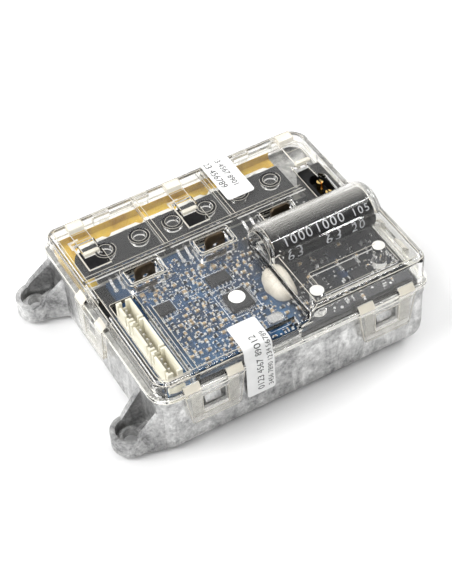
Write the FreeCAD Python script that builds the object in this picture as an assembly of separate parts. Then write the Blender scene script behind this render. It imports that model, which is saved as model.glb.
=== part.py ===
import FreeCAD, Part
import os
import math

# Electronic speed controller for a small electric scooter: a die-cast aluminium
# tray with two screw lugs, a potted circuit board with six power transistors,
# and a clear polycarbonate cover that snaps onto the tray.
# Frame: origin under the tray, near its middle, on the mounting plane, +X along the
# long side towards the battery connector, +Y across, +Z up.  Millimetres.

# ---------------------------------------------------------------- dimensions
BX0, BX1 = -42.6, 43.7       # left and right ends of the tray rim
BY0, BY1 = -34.2, 37.0       # near and far sides of the tray rim
TRAY_WALL = 2.0
TRAY_FLOOR = 2.6
RIM_Z = 21.1                 # top of the tray rim
RIM_BAND_Z = 17.6            # lower edge of the rim band
SHELF_Z = 19.8               # top of the transistor shelf
SHELF_Y0 = 14.6              # near edge of the shelf

LUG_HOLE_D = 4.5
LUG_R = 5.6                  # outer radius of the lug tip
LUG_Z0 = 1.6                 # underside of the lug wings above the mounting plane
LUG_TIP_Z = 7.0              # height of the rim round the lug tip
LUG_WALL = 1.5
LUG_NEAR = (-48.2, -25.3)    # screw centres
LUG_FAR = (-49.2, 34.2)

CX0, CX1 = -42.0, 43.1       # left and right walls of the cover
CY0, CY1 = -34.0, 36.6       # near and far walls of the cover
COVER_T = 1.5                # wall of the cover
LOW_Z = 28.2                 # top of the low part of the cover
HIGH_Z = 32.4                # top of the raised part
HIGH_X0 = 4.6                # left wall of the raised part
HIGH_Y1 = -4.9               # far side of the raised part, under the capacitor dome
FX0, FX1 = -43.3, 44.0       # outline of the cover's foot flange
FY0, FY1 = -34.8, 37.4
FLANGE_Z0, FLANGE_Z1 = 21.25, 22.9

CAP_R, CAP_L = 6.5, 30.0     # electrolytic capacitor
CAP_X0, CAP_Y, CAP_Z = 10.4, -4.9, 28.3
DOME_R = 8.2                 # capacitor dome outside radius

PCB_Z1, PCB_T = 21.5, 1.6    # top of the circuit board and its thickness
PITCH = 10.85                # transistor pitch
Q_X0, Q_Y = -30.5, 20.0      # centre of the first transistor body

HDR_W, HDR_H = 4.6, 7.4      # signal header width and height
HDR_X0 = -37.7

os.makedirs("parts", exist_ok=True)
V = FreeCAD.Vector
NODES = {}


def box(x0, x1, y0, y1, z0, z1):
    return Part.makeBox(x1 - x0, y1 - y0, z1 - z0, V(x0, y0, z0))


def cyl(x, y, z0, z1, r):
    return Part.makeCylinder(r, z1 - z0, V(x, y, z0))


def cylx(x0, x1, y, z, r):
    return Part.makeCylinder(r, x1 - x0, V(x0, y, z), V(1, 0, 0))


def prism_xy(pts, z0, z1):
    w = Part.makePolygon([V(p[0], p[1], z0) for p in pts] + [V(pts[0][0], pts[0][1], z0)])
    return Part.Face(w).extrude(V(0, 0, z1 - z0))


def prism_xz(pts, y0, y1):
    w = Part.makePolygon([V(p[0], y0, p[1]) for p in pts] + [V(pts[0][0], y0, pts[0][1])])
    return Part.Face(w).extrude(V(0, y1 - y0, 0))


def prism_yz(pts, x0, x1):
    w = Part.makePolygon([V(x0, p[0], p[1]) for p in pts] + [V(x0, pts[0][0], pts[0][1])])
    return Part.Face(w).extrude(V(x1 - x0, 0, 0))


def vertical_edges(s, test):
    out = []
    for e in s.Edges:
        a, b = e.Vertexes[0].Point, e.Vertexes[-1].Point
        if abs(a.x - b.x) < 1e-6 and abs(a.y - b.y) < 1e-6 and abs(a.z - b.z) > 1e-3 and test(a):
            out.append(e)
    return out


def level_edges(s, z, test=lambda p: True):
    out = []
    for e in s.Edges:
        bb = e.BoundBox
        if abs(bb.ZMin - z) < 1e-4 and abs(bb.ZMax - z) < 1e-4:
            if test(V((bb.XMin + bb.XMax) / 2, (bb.YMin + bb.YMax) / 2, z)):
                out.append(e)
    return out


def rounded(x0, x1, y0, y1, z0, z1, radii):
    """Block with its own radius at each vertical corner: (x0y0, x1y0, x1y1, x0y1)."""
    s = box(x0, x1, y0, y1, z0, z1)
    for (cx, cy), r in zip(((x0, y0), (x1, y0), (x1, y1), (x0, y1)), radii):
        if r > 0:
            s = s.makeFillet(r, vertical_edges(s, lambda p: abs(p.x - cx) < 1e-3 and abs(p.y - cy) < 1e-3))
    return s


def solids(shape):
    return [s for s in shape.Solids if s.Volume > 1e-4]


def fuse(items):
    s = items[0].fuse(items[1:]) if len(items) > 1 else items[0]
    return s.removeSplitter()


def put(name, *items):
    out = []
    for it in items:
        out += solids(it)
    shape = Part.Compound(out) if len(out) > 1 else out[0]
    NODES[name] = shape


# ------------------------------------------------------------ tray / heatsink
R_IN = (5.0, 4.0, 6.0, 3.0)


def tray_block(grow, z0, z1):
    return rounded(BX0 - grow, BX1 + grow, BY0 - grow, BY1 + grow, z0, z1, tuple(r + grow for r in R_IN))


tray = tray_block(-0.35, 0.0, RIM_BAND_Z + 0.1)
tray = tray.makeFillet(3.0, level_edges(tray, 0.0))
rim = tray_block(0.0, RIM_BAND_Z + 0.35, RIM_Z)
neck = tray_block(-0.6, RIM_BAND_Z, RIM_BAND_Z + 0.5)
tray = fuse([tray, rim, neck])
# the right end curves in towards the bottom
tray = tray.cut(prism_xz([(BX1 - 0.35, 9.0), (BX1 - 0.9, 6.6), (BX1 - 2.4, 3.9), (BX1 - 4.8, 1.6), (BX1 - 7.4, 0.0), (BX1 - 7.4, -2.0), (BX1 + 4.0, -2.0), (BX1 + 4.0, 9.0)], BY0 - 5, BY1 + 5))
# pocket for the board, transistor shelf left standing along the far wall
END_SLOPE = [(BX1 - TRAY_WALL + 1, 11.4), (BX1 - TRAY_WALL, 11.4), (BX1 - 8.0, TRAY_FLOOR), (BX1 - 8.0, TRAY_FLOOR - 1), (BX1 - TRAY_WALL + 1, TRAY_FLOOR - 1)]
pocket = rounded(BX0 + TRAY_WALL, BX1 - TRAY_WALL, BY0 + TRAY_WALL, SHELF_Y0, TRAY_FLOOR, RIM_Z + 1, (3, 2.5, 1.5, 1.5))
pocket = pocket.cut(prism_xz(END_SLOPE, BY0, BY1))
far_pocket = rounded(BX0 + TRAY_WALL, BX1 - TRAY_WALL, SHELF_Y0 - 0.01 - 3, BY1 - TRAY_WALL, SHELF_Z, RIM_Z + 1, (0, 0, 4, 1.5))
tray = tray.cut(pocket).cut(far_pocket)


def lug(cx, cy, y_lo, y_hi, top_far, top_near):
    """Screw lug: hollow wing with sloping side walls, a screw boss and a rib."""
    xw = BX0 + 1.6
    n = 24
    # plan outline: tip arc joined to the wall root by straight flanks
    def outline(r, ylo, yhi, xr):
        pts = [(xr, ylo)]
        a0 = math.radians(-80)
        for k in range(n + 1):
            a = a0 - (math.radians(200)) * k / n
            pts.append((cx + r * math.cos(a), cy + r * math.sin(a)))
        pts.append((xr, yhi))
        return pts
    outer = prism_xy(outline(LUG_R, y_lo, y_hi, xw), LUG_Z0, RIM_Z - 0.2)
    inner = prism_xy(outline(LUG_R - LUG_WALL, y_lo + LUG_WALL, y_hi - LUG_WALL, BX0 + 0.3), LUG_Z0 + 1.6, RIM_Z + 1)
    # the top of the wing falls from the wall to the tip
    tip = cx - 0.3
    cutter_pts = [(cx - LUG_R - 2, LUG_TIP_Z), (tip, LUG_TIP_Z), (BX0 + 0.2, top_near), (BX0 + 0.2, RIM_Z + 2), (cx - LUG_R - 2, RIM_Z + 2)]
    wing = outer.cut(prism_xz(cutter_pts, cy - 12, cy + 12)).cut(inner)
    boss = cyl(cx, cy, LUG_Z0, LUG_Z0 + 2.9, LUG_HOLE_D / 2 + 0.9)
    rib1 = prism_xy([(cx + 2.6, cy - 0.6), (BX0 + 0.4, cy - 2.0), (BX0 + 0.4, cy - 0.9), (cx + 2.6, cy + 0.5)], LUG_Z0 + 1.5, LUG_Z0 + 3.6)
    rib2 = prism_xy([(cx + 2.6, cy - 0.5), (BX0 + 0.4, cy + 0.9), (BX0 + 0.4, cy + 2.0), (cx + 2.6, cy + 0.6)], LUG_Z0 + 1.5, LUG_Z0 + 3.6)
    w = fuse([wing, boss, rib1, rib2])
    return w.cut(cyl(cx, cy, LUG_Z0 - 1, LUG_Z0 + 5, LUG_HOLE_D / 2))


lug_near = lug(LUG_NEAR[0], LUG_NEAR[1], -32.6, -20.6, 19.0, 16.4)
lug_far = lug(LUG_FAR[0], LUG_FAR[1], 25.6, 36.4, 19.8, 16.4)
tray = fuse([tray, lug_near, lug_far])

# snap catches: a shallow pocket in the wall with a wedge in it, under each cover frame
NEAR_SNAPS = (-26.2, 28.6)
FAR_SNAPS = (-17.5, 29.4)
LEFT_SNAPS = (4.6,)
RIGHT_SNAPS = (-14.0, 16.0)
CATCH = 0.28                 # how far a wedge stands out of the wall
POCKET = 1.1                 # depth of the pocket round it
WEDGE = ((-POCKET, 19.4), (-POCKET + 0.2, 19.4), (CATCH, 15.4), (CATCH, 14.7), (-POCKET, 14.7))


def catch_pair(c, axis, side):
    """Pocket to cut and wedge to add; axis names the wall's normal."""
    wall = {("y", -1): -BY0, ("y", 1): BY1, ("x", -1): -BX0, ("x", 1): BX1}[(axis, side)] - 0.35
    pts = [(side * (wall + d), z) for d, z in WEDGE]
    if axis == "y":
        lo, hi = sorted((side * (wall - POCKET), side * (wall + 2)))
        return box(c - 3.9, c + 3.9, lo, hi, 13.8, 20.2), prism_yz(pts, c - 2.4, c + 2.4)
    lo, hi = sorted((side * (wall - POCKET), side * (wall + 2)))
    return box(lo, hi, c - 3.5, c + 3.5, 13.8, 20.2), prism_xz(pts, c - 2.2, c + 2.2)


pairs = [catch_pair(x, "y", -1) for x in NEAR_SNAPS] + [catch_pair(x, "y", 1) for x in FAR_SNAPS]
pairs += [catch_pair(y, "x", -1) for y in LEFT_SNAPS] + [catch_pair(y, "x", 1) for y in RIGHT_SNAPS]
for hollow, wedge in pairs:
    tray = tray.cut(hollow)
tray = fuse([tray] + [wedge for hollow, wedge in pairs])
put("heatsink_base", tray)

# ------------------------------------------------------- board and potting
PCB_Z0 = PCB_Z1 - PCB_T
pcb = prism_xy([(-38.3, -31.5), (-29.6, -31.5), (-29.6, -29.2), (40.8, -29.2), (40.8, 13.6), (-34.3, 13.6), (-34.3, 0.4), (-38.3, 0.4)], PCB_Z0, PCB_Z1)
PHASE_X = (-25.0, -2.6, 19.0)
PHASE_Y = 6.2
CAP_LEADS = ((8.2, -8.7), (8.2, -1.1))
BAT_X, BAT_Y = 36.2, 9.9     # middle of the battery connector's pins
HDR = ((3, -0.6), (5, -9.0), (4, -21.4))     # ways, far end of each header in Y
for x in PHASE_X:
    pcb = pcb.cut(box(x - 2.4, x - 1.2, PHASE_Y - 0.5, PHASE_Y + 0.5, PCB_Z0 - 1, PCB_Z1 + 1))
    pcb = pcb.cut(box(x + 1.2, x + 2.4, PHASE_Y - 0.5, PHASE_Y + 0.5, PCB_Z0 - 1, PCB_Z1 + 1))
for x, y in CAP_LEADS:
    pcb = pcb.cut(cyl(x, y, PCB_Z0 - 1, PCB_Z1 + 1, 0.5))
put("circuit_board", pcb)

# black potting compound fills the tray under the board
pot = rounded(BX0 + TRAY_WALL + 0.05, BX1 - TRAY_WALL - 0.05, BY0 + TRAY_WALL + 0.05, SHELF_Y0 - 0.05, TRAY_FLOOR, PCB_Z0, (2.9, 2.4, 1.4, 1.4))
pot = pot.cut(prism_xz([(x - 0.05, z + 0.05) for x, z in END_SLOPE], BY0, BY1))
for x in PHASE_X:
    pot = pot.cut(box(x - 2.5, x + 2.5, PHASE_Y - 0.6, PHASE_Y + 0.6, PCB_Z0 - 1.6, PCB_Z0 + 1))
for x, y in CAP_LEADS:
    pot = pot.cut(cyl(x, y, PCB_Z0 - 1.6, PCB_Z1 + 1, 0.6))
put("potting_compound", pot)

# ---------------------------------------------------------- power transistors
TAB_T = 1.3
PAD_T = 0.25
bodies, tabs, legs = [], [], []
for i in range(6):
    x = Q_X0 + i * PITCH
    zt = SHELF_Z + PAD_T
    tab = box(x - 5.0, x + 5.0, Q_Y - 4.2, Q_Y + 11.2, zt, zt + TAB_T)
    tab = tab.makeChamfer(1.0, [e for e in vertical_edges(tab, lambda p: p.y > Q_Y + 10)])
    tab = tab.cut(cyl(x, Q_Y + 8.4, zt - 1, zt + 3, 1.85))
    body = box(x - 5.1, x + 5.1, Q_Y - 4.6, Q_Y + 4.6, zt + 0.35, zt + 4.4)
    body = body.makeChamfer(0.5, level_edges(body, zt + 4.4))
    body = body.cut(cyl(x - 3.4, Q_Y - 3.0, zt + 4.2, zt + 5, 0.7))
    tab = tab.cut(box(x - 5.1, x + 5.1, Q_Y - 4.6, Q_Y + 4.6, zt + 0.35, zt + 4.4))
    bodies.append(body)
    tabs.append(tab)
    for k in (-1, 0, 1):
        xl = x + 2.54 * k
        z1 = zt + 2.7
        y0 = Q_Y - 4.6
        w = 0.42
        leg = prism_yz([(y0, z1 - 0.25), (y0, z1 + 0.25), (y0 - 2.4, z1 + 0.25), (y0 - 4.6, PCB_Z1 + 0.65), (y0 - 6.6, PCB_Z1 + 0.5),
                        (y0 - 6.6, PCB_Z1 + 0.02), (y0 - 4.8, PCB_Z1 + 0.1), (y0 - 2.6, z1 - 0.25)], xl - w, xl + w)
        legs.append(leg)
put("transistor_bodies", *bodies)
put("transistor_tabs", *tabs)
put("transistor_legs", *legs)
put("thermal_pad", rounded(-40.4, 31.4, Q_Y - 4.8, BY1 - TRAY_WALL - 0.4, SHELF_Z, SHELF_Z + PAD_T, (0, 0, 1, 1)))
# black sheet laid over the transistors under the press tubes of the cover
QTOP = SHELF_Z + PAD_T + 4.4
put("pressure_pad", rounded(-39.4, 29.6, Q_Y - 5.4, Q_Y + 6.6, QTOP, QTOP + 0.4, (0.5, 0.5, 0.5, 5.5)))
# amber tape along the shelf behind the tabs and up the far wall, and left of the
# first transistor and up the left wall
tape_z = SHELF_Z + PAD_T
wall_y = BY1 - TRAY_WALL - 0.1
tape = fuse([box(-39.5, 31.6, Q_Y + 11.35, wall_y, tape_z, tape_z + 0.15),
             box(-39.5, 31.6, wall_y - 0.15, wall_y, tape_z, RIM_Z + 1.6)])
tape2 = fuse([box(BX0 + TRAY_WALL + 0.1, -35.8, 15.6, Q_Y + 11.3, tape_z + 0.02, tape_z + 0.17),
              box(BX0 + TRAY_WALL + 0.1, BX0 + TRAY_WALL + 0.25, 15.6, 29.0, tape_z + 0.02, RIM_Z - 0.1)])
put("polyimide_tape", tape, tape2)

# -------------------------------------------------------------- phase tabs
for nm, x in zip(("phase_tab_u", "phase_tab_v", "phase_tab_w"), PHASE_X):
    t = prism_xz([(x - 3.15, PCB_Z1 + 0.02), (x - 3.15, 30.2), (x - 2.2, 31.2), (x + 2.2, 31.2), (x + 3.15, 30.2), (x + 3.15, PCB_Z1 + 0.02),
                  (x + 2.3, PCB_Z1 + 0.02), (x + 2.3, PCB_Z0 - 1.2), (x + 1.3, PCB_Z0 - 1.2), (x + 1.3, PCB_Z1 + 0.02),
                  (x - 1.3, PCB_Z1 + 0.02), (x - 1.3, PCB_Z0 - 1.2), (x - 2.3, PCB_Z0 - 1.2), (x - 2.3, PCB_Z1 + 0.02)], PHASE_Y - 0.4, PHASE_Y + 0.4)
    t = t.cut(Part.makeCylinder(0.9, 3, V(x, PHASE_Y - 1.5, 27.0), V(0, 1, 0)))
    put(nm, t)

# ------------------------------------------------------------- capacitor
can = cylx(CAP_X0 + 1.2, CAP_X0 + CAP_L, CAP_Y, CAP_Z, CAP_R - 0.2)
can = can.makeFillet(0.8, [e for e in can.Edges if abs(e.BoundBox.XMin - e.BoundBox.XMax) < 1e-6 and e.BoundBox.XMin > CAP_X0 + 10])
sleeve = cylx(CAP_X0, CAP_X0 + CAP_L + 0.1, CAP_Y, CAP_Z, CAP_R)
sleeve = sleeve.makeFillet(0.9, [e for e in sleeve.Edges if abs(e.BoundBox.XMin - e.BoundBox.XMax) < 1e-6])
sleeve = sleeve.cut(can).cut(cylx(CAP_X0 - 1, CAP_X0 + 3, CAP_Y, CAP_Z, CAP_R - 1.0)).cut(cylx(CAP_X0 + CAP_L - 1, CAP_X0 + CAP_L + 1, CAP_Y, CAP_Z, CAP_R - 1.6))
bung = cylx(CAP_X0 + 0.3, CAP_X0 + 1.2, CAP_Y, CAP_Z, CAP_R - 1.05)
LEAD_Y = (CAP_Y - 3.8, CAP_Y + 3.8)
for y in LEAD_Y:
    bung = bung.cut(cylx(CAP_X0 - 1, CAP_X0 + 3, y, CAP_Z, 0.42))
put("capacitor_can", can)
put("capacitor_sleeve", sleeve)
put("capacitor_bung", bung)
lead_solids = []
for y in LEAD_Y:
    a = cylx(8.2, CAP_X0 + 1.15, y, CAP_Z, 0.4)
    b = cyl(8.2, y, PCB_Z0 - 1.2, CAP_Z, 0.4)
    c = Part.makeSphere(0.4, V(8.2, y, CAP_Z))
    lead_solids.append(fuse([a, b, c]))
put("capacitor_leads", *lead_solids)

# white silicone bead that glues the capacitor to the board
blob = fuse([Part.makeSphere(r, V(x, y, z)) for x, y, z, r in ((6.9, -13.2, 22.4, 4.4), (7.1, -11.6, 22.7, 4.2), (6.8, -14.8, 22.3, 3.9), (6.7, -16.2, 22.2, 3.5))])
blob = blob.common(box(-5, CAP_X0 - 0.05, -24, 2, PCB_Z1, 26.4))
for y in (CAP_Y - 3.8, CAP_Y + 3.8):
    blob = blob.cut(cyl(8.2, y, 20, 30, 0.42)).cut(cylx(7, 12, y, CAP_Z, 0.42))
put("silicone_bead", blob)

# ------------------------------------------------------ battery connector
# low black block with a pill-shaped socket round the two pins
bat = rounded(31.9, 40.4, 4.6, 20.1, PCB_Z1, 26.4, (0.6, 0.6, 0.6, 2.2)).cut(cylx(0, CX1, CAP_Y, CAP_Z, DOME_R + 0.3))
bat = bat.makeChamfer(0.3, level_edges(bat, 26.4, lambda p: p.y > 19.7))
pill = rounded(BAT_X - 2.4, BAT_X + 2.6, 5.3, 16.2, 22.9, 28, (2.4, 2.4, 2.4, 2.4))
bat = bat.cut(pill)
for s in (-2.5, 2.5):
    bat = bat.cut(cyl(BAT_X, BAT_Y + s, PCB_Z1 - 1, 26, 1.05))
# the board ends before the far side of the block: a foot stands on the shelf edge
bat = bat.cut(box(30, 42, 13.5, 22, PCB_Z1 - 1, PCB_Z1 + 0.6))
put("battery_connector_housing", bat)
put("battery_connector_pins", *[cyl(BAT_X, BAT_Y + s, PCB_Z1 + 0.02, 27.0, 1.0).cut(box(BAT_X - 0.2, BAT_X + 0.2, BAT_Y + s - 2, BAT_Y + s + 2, 24.5, 31)) for s in (-2.5, 2.5)])

# ---------------------------------------------------------- signal headers
hpins = []
for (ways, yfar), nm in zip(HDR, ("signal_header_3way", "signal_header_5way", "signal_header_4way")):
    ln = 2.0 * (ways - 1) + 3.9
    y1, y0 = yfar - 0.1, yfar - ln
    h = box(HDR_X0, HDR_X0 + HDR_W, y0, y1, PCB_Z1, PCB_Z1 + HDR_H)
    h = h.cut(box(HDR_X0 + 0.7, HDR_X0 + HDR_W - 0.7, y0 + 0.7, y1 - 0.7, PCB_Z1 + 1.4, PCB_Z1 + HDR_H + 1))
    # polarising slots in the left wall and the end wall notches
    h = h.cut(box(HDR_X0 - 1, HDR_X0 + 1, y0 + 1.3, y0 + 2.0, PCB_Z1 + 3.2, PCB_Z1 + HDR_H + 1))
    h = h.cut(box(HDR_X0 - 1, HDR_X0 + 1, y1 - 2.0, y1 - 1.3, PCB_Z1 + 3.2, PCB_Z1 + HDR_H + 1))
    h = h.cut(box(HDR_X0 + HDR_W / 2 - 0.6, HDR_X0 + HDR_W / 2 + 0.6, y0 - 1, y1 + 1, PCB_Z1 + 4.6, PCB_Z1 + HDR_H + 1))
    ym = (y0 + y1) / 2
    for k in range(ways):
        yp = ym + (k - (ways - 1) / 2.0) * 2.0
        h = h.cut(box(HDR_X0 + 1.9, HDR_X0 + 2.5, yp - 0.3, yp + 0.3, PCB_Z1 - 1, PCB_Z1 + 3))
        hpins.append(box(HDR_X0 + 1.92, HDR_X0 + 2.48, yp - 0.28, yp + 0.28, PCB_Z1 + 0.02, PCB_Z1 + 5.2))
    put(nm, h)
put("signal_header_pins", *hpins)

# --------------------------------------------------------- ICs and passives
MCU = (-5.8, -12.6)
mcu = box(MCU[0] - 3.5, MCU[0] + 3.5, MCU[1] - 3.5, MCU[1] + 3.5, PCB_Z1 + 0.15, PCB_Z1 + 1.5)
mcu = mcu.makeChamfer(0.25, level_edges(mcu, PCB_Z1 + 1.5))
put("microcontroller", mcu)
ml = []
for k in range(12):
    o = -2.75 + 0.5 * k
    for sx, sy in ((1, 0), (-1, 0), (0, 1), (0, -1)):
        if sx:
            x0, x1 = sorted((MCU[0] + sx * 3.5, MCU[0] + sx * 4.5))
            ml.append(box(x0, x1, MCU[1] + o - 0.11, MCU[1] + o + 0.11, PCB_Z1 + 0.02, PCB_Z1 + 0.5))
        else:
            y0, y1 = sorted((MCU[1] + sy * 3.5, MCU[1] + sy * 4.5))
            ml.append(box(MCU[0] + o - 0.11, MCU[0] + o + 0.11, y0, y1, PCB_Z1 + 0.02, PCB_Z1 + 0.5))
put("microcontroller_leads", *ml)
put("round_sticker", cyl(MCU[0] - 0.1, MCU[1] + 0.7, PCB_Z1 + 1.5, PCB_Z1 + 1.6, 2.4))


def soic(x, y, lx, ly, n, axis):
    """Small-outline package: body and its two rows of n leads."""
    b = box(x - lx / 2, x + lx / 2, y - ly / 2, y + ly / 2, PCB_Z1 + 0.1, PCB_Z1 + 1.5)
    b = b.makeChamfer(0.3, level_edges(b, PCB_Z1 + 1.5))
    ls = []
    for k in range(n):
        o = (k - (n - 1) / 2.0) * 1.27
        for s in (-1, 1):
            if axis == "x":
                y0, y1 = sorted((y + s * ly / 2, y + s * (ly / 2 + 1.0)))
                ls.append(box(x + o - 0.2, x + o + 0.2, y0, y1, PCB_Z1 + 0.02, PCB_Z1 + 0.6))
            else:
                x0, x1 = sorted((x + s * lx / 2, x + s * (lx / 2 + 1.0)))
                ls.append(box(x0, x1, y + o - 0.2, y + o + 0.2, PCB_Z1 + 0.02, PCB_Z1 + 0.6))
    return b, ls


ic_b, ic_l = [], []
for args in ((-6.6, -2.4, 6.4, 3.9, 5, "x"), (-25.0, -4.6, 5.2, 3.9, 4, "x"), (28.0, -22.0, 5.0, 4.0, 4, "x"), (16.0, -20.0, 4.0, 5.0, 4, "y")):
    b, ls = soic(*args)
    ic_b.append(b)
    ic_l += ls
put("driver_ic_bodies", *ic_b)
put("driver_ic_leads", *ic_l)
put("crystal", rounded(-3.4, 1.4, -26.4, -23.2, PCB_Z1 + 0.05, PCB_Z1 + 2.4, (1.5, 1.5, 1.5, 1.5)))
put("shunt_resistors", box(8.9, 15.2, 5.0, 8.2, PCB_Z1, PCB_Z1 + 1.0), box(24.4, 30.7, -18.6, -15.4, PCB_Z1, PCB_Z1 + 1.0))

# chip resistors and capacitors, laid out in rows between the larger parts
res, cap = [], []
seed = 7
taken = [(MCU[0], MCU[1], 5.6, 5.6), (-6.6, -2.4, 4.2, 3.6), (-25.0, -4.6, 3.6, 3.6), (7.2, -13.6, 4.9, 5.8),
         (-25.0, 6.2, 4.0, 1.6), (-2.6, 6.2, 4.0, 1.6), (19.0, 6.2, 4.0, 1.6), (28.0, -22.0, 3.4, 3.8), (16.0, -20.0, 3.8, 3.4), (8.2, -5.0, 1.4, 5.4),
         (12.0, 6.6, 4.2, 2.4), (27.6, -17.0, 4.2, 2.4), (25.4, CAP_Y, 16.0, 2.0), (-1.2, -24.9, 3.0, 2.4)]
for i in range(15):
    for j in range(11):
        seed = (seed * 1103515245 + 12345) % 2147483648
        x = -27.6 + i * 3.05 + (seed // 65536 % 100) * 0.011
        seed = (seed * 1103515245 + 12345) % 2147483648
        y = -27.0 + j * 2.85 + (seed // 65536 % 100) * 0.007
        seed = (seed * 1103515245 + 12345) % 2147483648
        kind = seed // 65536 % 10
        if kind > 7 or any(abs(x - a) < c + 1.1 and abs(y - b) < d + 1.1 for a, b, c, d in taken):
            continue
        if kind % 2:
            dx, dy = 0.8, 0.4
        else:
            dx, dy = 0.4, 0.8
        if kind < 4:
            res.append(box(x - dx, x + dx, y - dy, y + dy, PCB_Z1, PCB_Z1 + 0.45))
        else:
            cap.append(box(x - dx, x + dx, y - dy, y + dy, PCB_Z1, PCB_Z1 + 0.8))
put("chip_resistors", *res)
put("chip_capacitors", *cap)
# --------------------------------------------------------------- clear cover
C_R = (5.0, 3.2, 6.0, 2.6)


def cover_low(inset, z0, z1, fil):
    s = rounded(CX0 + inset, CX1 - inset, CY0 + inset, CY1 - inset, z0, z1, tuple(max(0.6, r - inset) for r in C_R))
    return s.makeFillet(fil, level_edges(s, z1))


def cover_high(inset, z0, z1, fil, left):
    """Raised part: its left shoulder has a larger radius than the other edges."""
    s = rounded(HIGH_X0 + inset, CX1 - inset, CY0 + inset, HIGH_Y1 + 2.0, z0, z1, (0, max(0.6, 3.2 - inset), 0, 0))
    s = s.makeFillet(left, [e for e in level_edges(s, z1) if e.BoundBox.XMax < HIGH_X0 + inset + 0.01])
    chain = [e for e in s.Edges if e.BoundBox.YMax < CY0 + inset + 0.01 and e.BoundBox.ZMax > z0 + 0.5]
    chain += [e for e in level_edges(s, z1) if e.BoundBox.XMax > CX1 - inset - 0.01]
    return s.makeFillet(fil, [e for e in chain if not (e.BoundBox.XMin > CX1 - 4.5 and e.BoundBox.ZMin < z1 - 0.5)])


def dome(r, x0, x1, fil0, fil1):
    s = cylx(x0, x1, CAP_Y, CAP_Z, r)
    s = s.makeFillet(fil0, [e for e in s.Edges if abs(e.BoundBox.XMin - e.BoundBox.XMax) < 1e-6 and e.BoundBox.XMax < x0 + 0.01])
    return s.makeFillet(fil1, [e for e in s.Edges if abs(e.BoundBox.XMin - e.BoundBox.XMax) < 1e-6 and e.BoundBox.XMin > x1 - 0.01])


DX0, DX1 = 6.0, CX1 - 0.05
dome_out = dome(DOME_R, DX0, DX1, 1.4, 3.4).common(box(0, CX1, -20, 12, 26.0, 40))
dome_in = dome(DOME_R - 1.2, DX0 + 1.2, DX1 - 1.1, 0.5, 0.9)
outer = fuse([cover_low(0.0, FLANGE_Z0, LOW_Z, 1.8), cover_high(0.0, FLANGE_Z0, HIGH_Z, 1.8, 3.0), dome_out])
inner_low = cover_low(COVER_T, FLANGE_Z0 - 1, LOW_Z - COVER_T, 0.6)
inner_high = cover_high(COVER_T, FLANGE_Z0 - 1, HIGH_Z - COVER_T, 0.6, 1.6)
flange = rounded(FX0, FX1, FY0, FY1, FLANGE_Z0, FLANGE_Z1, (6.0, 4.0, 6.6, 3.4))
flange = flange.makeFillet(0.5, level_edges(flange, FLANGE_Z1))
flange = flange.cut(rounded(CX0 + 0.8, CX1 - 0.8, CY0 + 0.8, CY1 - 0.8, FLANGE_Z0 - 1, FLANGE_Z1 + 1, (4.2, 2.4, 5.2, 1.8)))
cover = fuse([outer, flange]).cut(inner_low).cut(inner_high).cut(dome_in.common(box(0, CX1, -20, 12, 20.0, 40)))

add, cutters = [], []


def hang(s):
    """Feature moulded on the inside of the roof."""
    add.append(s)


# roof ribs: one long rib beside the transistors, two cross ribs
RIB_Z = 26.0
hang(box(CX0 + 1.0, 31.0, 11.9, 13.3, RIB_Z, LOW_Z - 0.6))
for x in (-14.3, 7.6):
    hang(box(x - 0.75, x + 0.75, 13.0, CY1 - 1.0, RIB_Z, LOW_Z - 0.6))
# fence wall beside the signal headers
hang(box(-30.6, -29.2, CY0 + 1.0, -5.5, 22.6, LOW_Z - 0.6))
# press tubes over the transistors
for i in range(6):
    x = Q_X0 + i * PITCH
    t = cyl(x, Q_Y, QTOP + 1.25, LOW_Z - 0.5, 2.9).cut(cyl(x, Q_Y, 20, LOW_Z - COVER_T, 1.9))
    hang(t)
# two closed posts under the raised roof
for x, y in ((10.2, -28.6), (33.6, -23.6)):
    hang(cyl(x, y, 24.4, HIGH_Z - 0.6, 2.0))

# hollow blend where the dome runs out into the raised roof
BLEND = 8.0
by = CAP_Y - math.sqrt((DOME_R + BLEND) ** 2 - (HIGH_Z + BLEND - CAP_Z) ** 2)
a_end = math.degrees(math.atan2(CAP_Z - (HIGH_Z + BLEND), CAP_Y - by))
pts = [(by + BLEND * math.cos(math.radians(-90 + (a_end + 90) * k / 10.0)), HIGH_Z + BLEND + BLEND * math.sin(math.radians(-90 + (a_end + 90) * k / 10.0))) for k in range(11)]
hang(prism_yz(pts + [(-10.6, 33.6), (-11.6, 32.0), (by, 32.0)], 8.4, 40.2))

# shallow bead framing the raised roof
bead = box(10.6, 35.6, -31.6, -21.8, HIGH_Z - COVER_T - 0.5, HIGH_Z - 0.6).cut(box(11.4, 34.8, -30.8, -22.6, 20, HIGH_Z))
hang(bead)

# phase windows with collars
for x in PHASE_X:
    near = 3.9                          # the windows start just beyond the capacitor dome
    hang(rounded(x - 6.2, x + 6.0, near - 1.0, 10.4, 24.6, LOW_Z + 0.5, (1, 1, 1, 1)).cut(cylx(0, CX1, CAP_Y, CAP_Z, DOME_R - 1.0)))
    cutters.append(rounded(x - 5.2, x + 5.0, near, 9.5, 20, LOW_Z + 3, (0.6, 0.6, 0.6, 0.6)))
# slot round the signal headers, with a low collar
cutters.append(rounded(-39.2, -31.6, -33.0 + 0.4, 0.2, 20, LOW_Z + 3, (1.2, 0.6, 0.6, 0.6)))
# battery connector opening: stepped far end, with a second small slot beside it
cutters.append(prism_xy([(31.6, 3.9), (38.4, 3.9), (38.7, 13.0), (36.9, 14.6), (36.6, 20.4), (33.4, 20.6), (31.6, 21.6)], 20, LOW_Z + 3))
# finger hooks over their openings
HOOKS = (-34.2, -2.4, 35.6)
for x in HOOKS[:2]:
    cutters.append(rounded(x - 3.5, x + 3.2, 15.2, 26.4, 20, LOW_Z + 3, (0.4, 0.4, 0.4, 0.4)))
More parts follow.
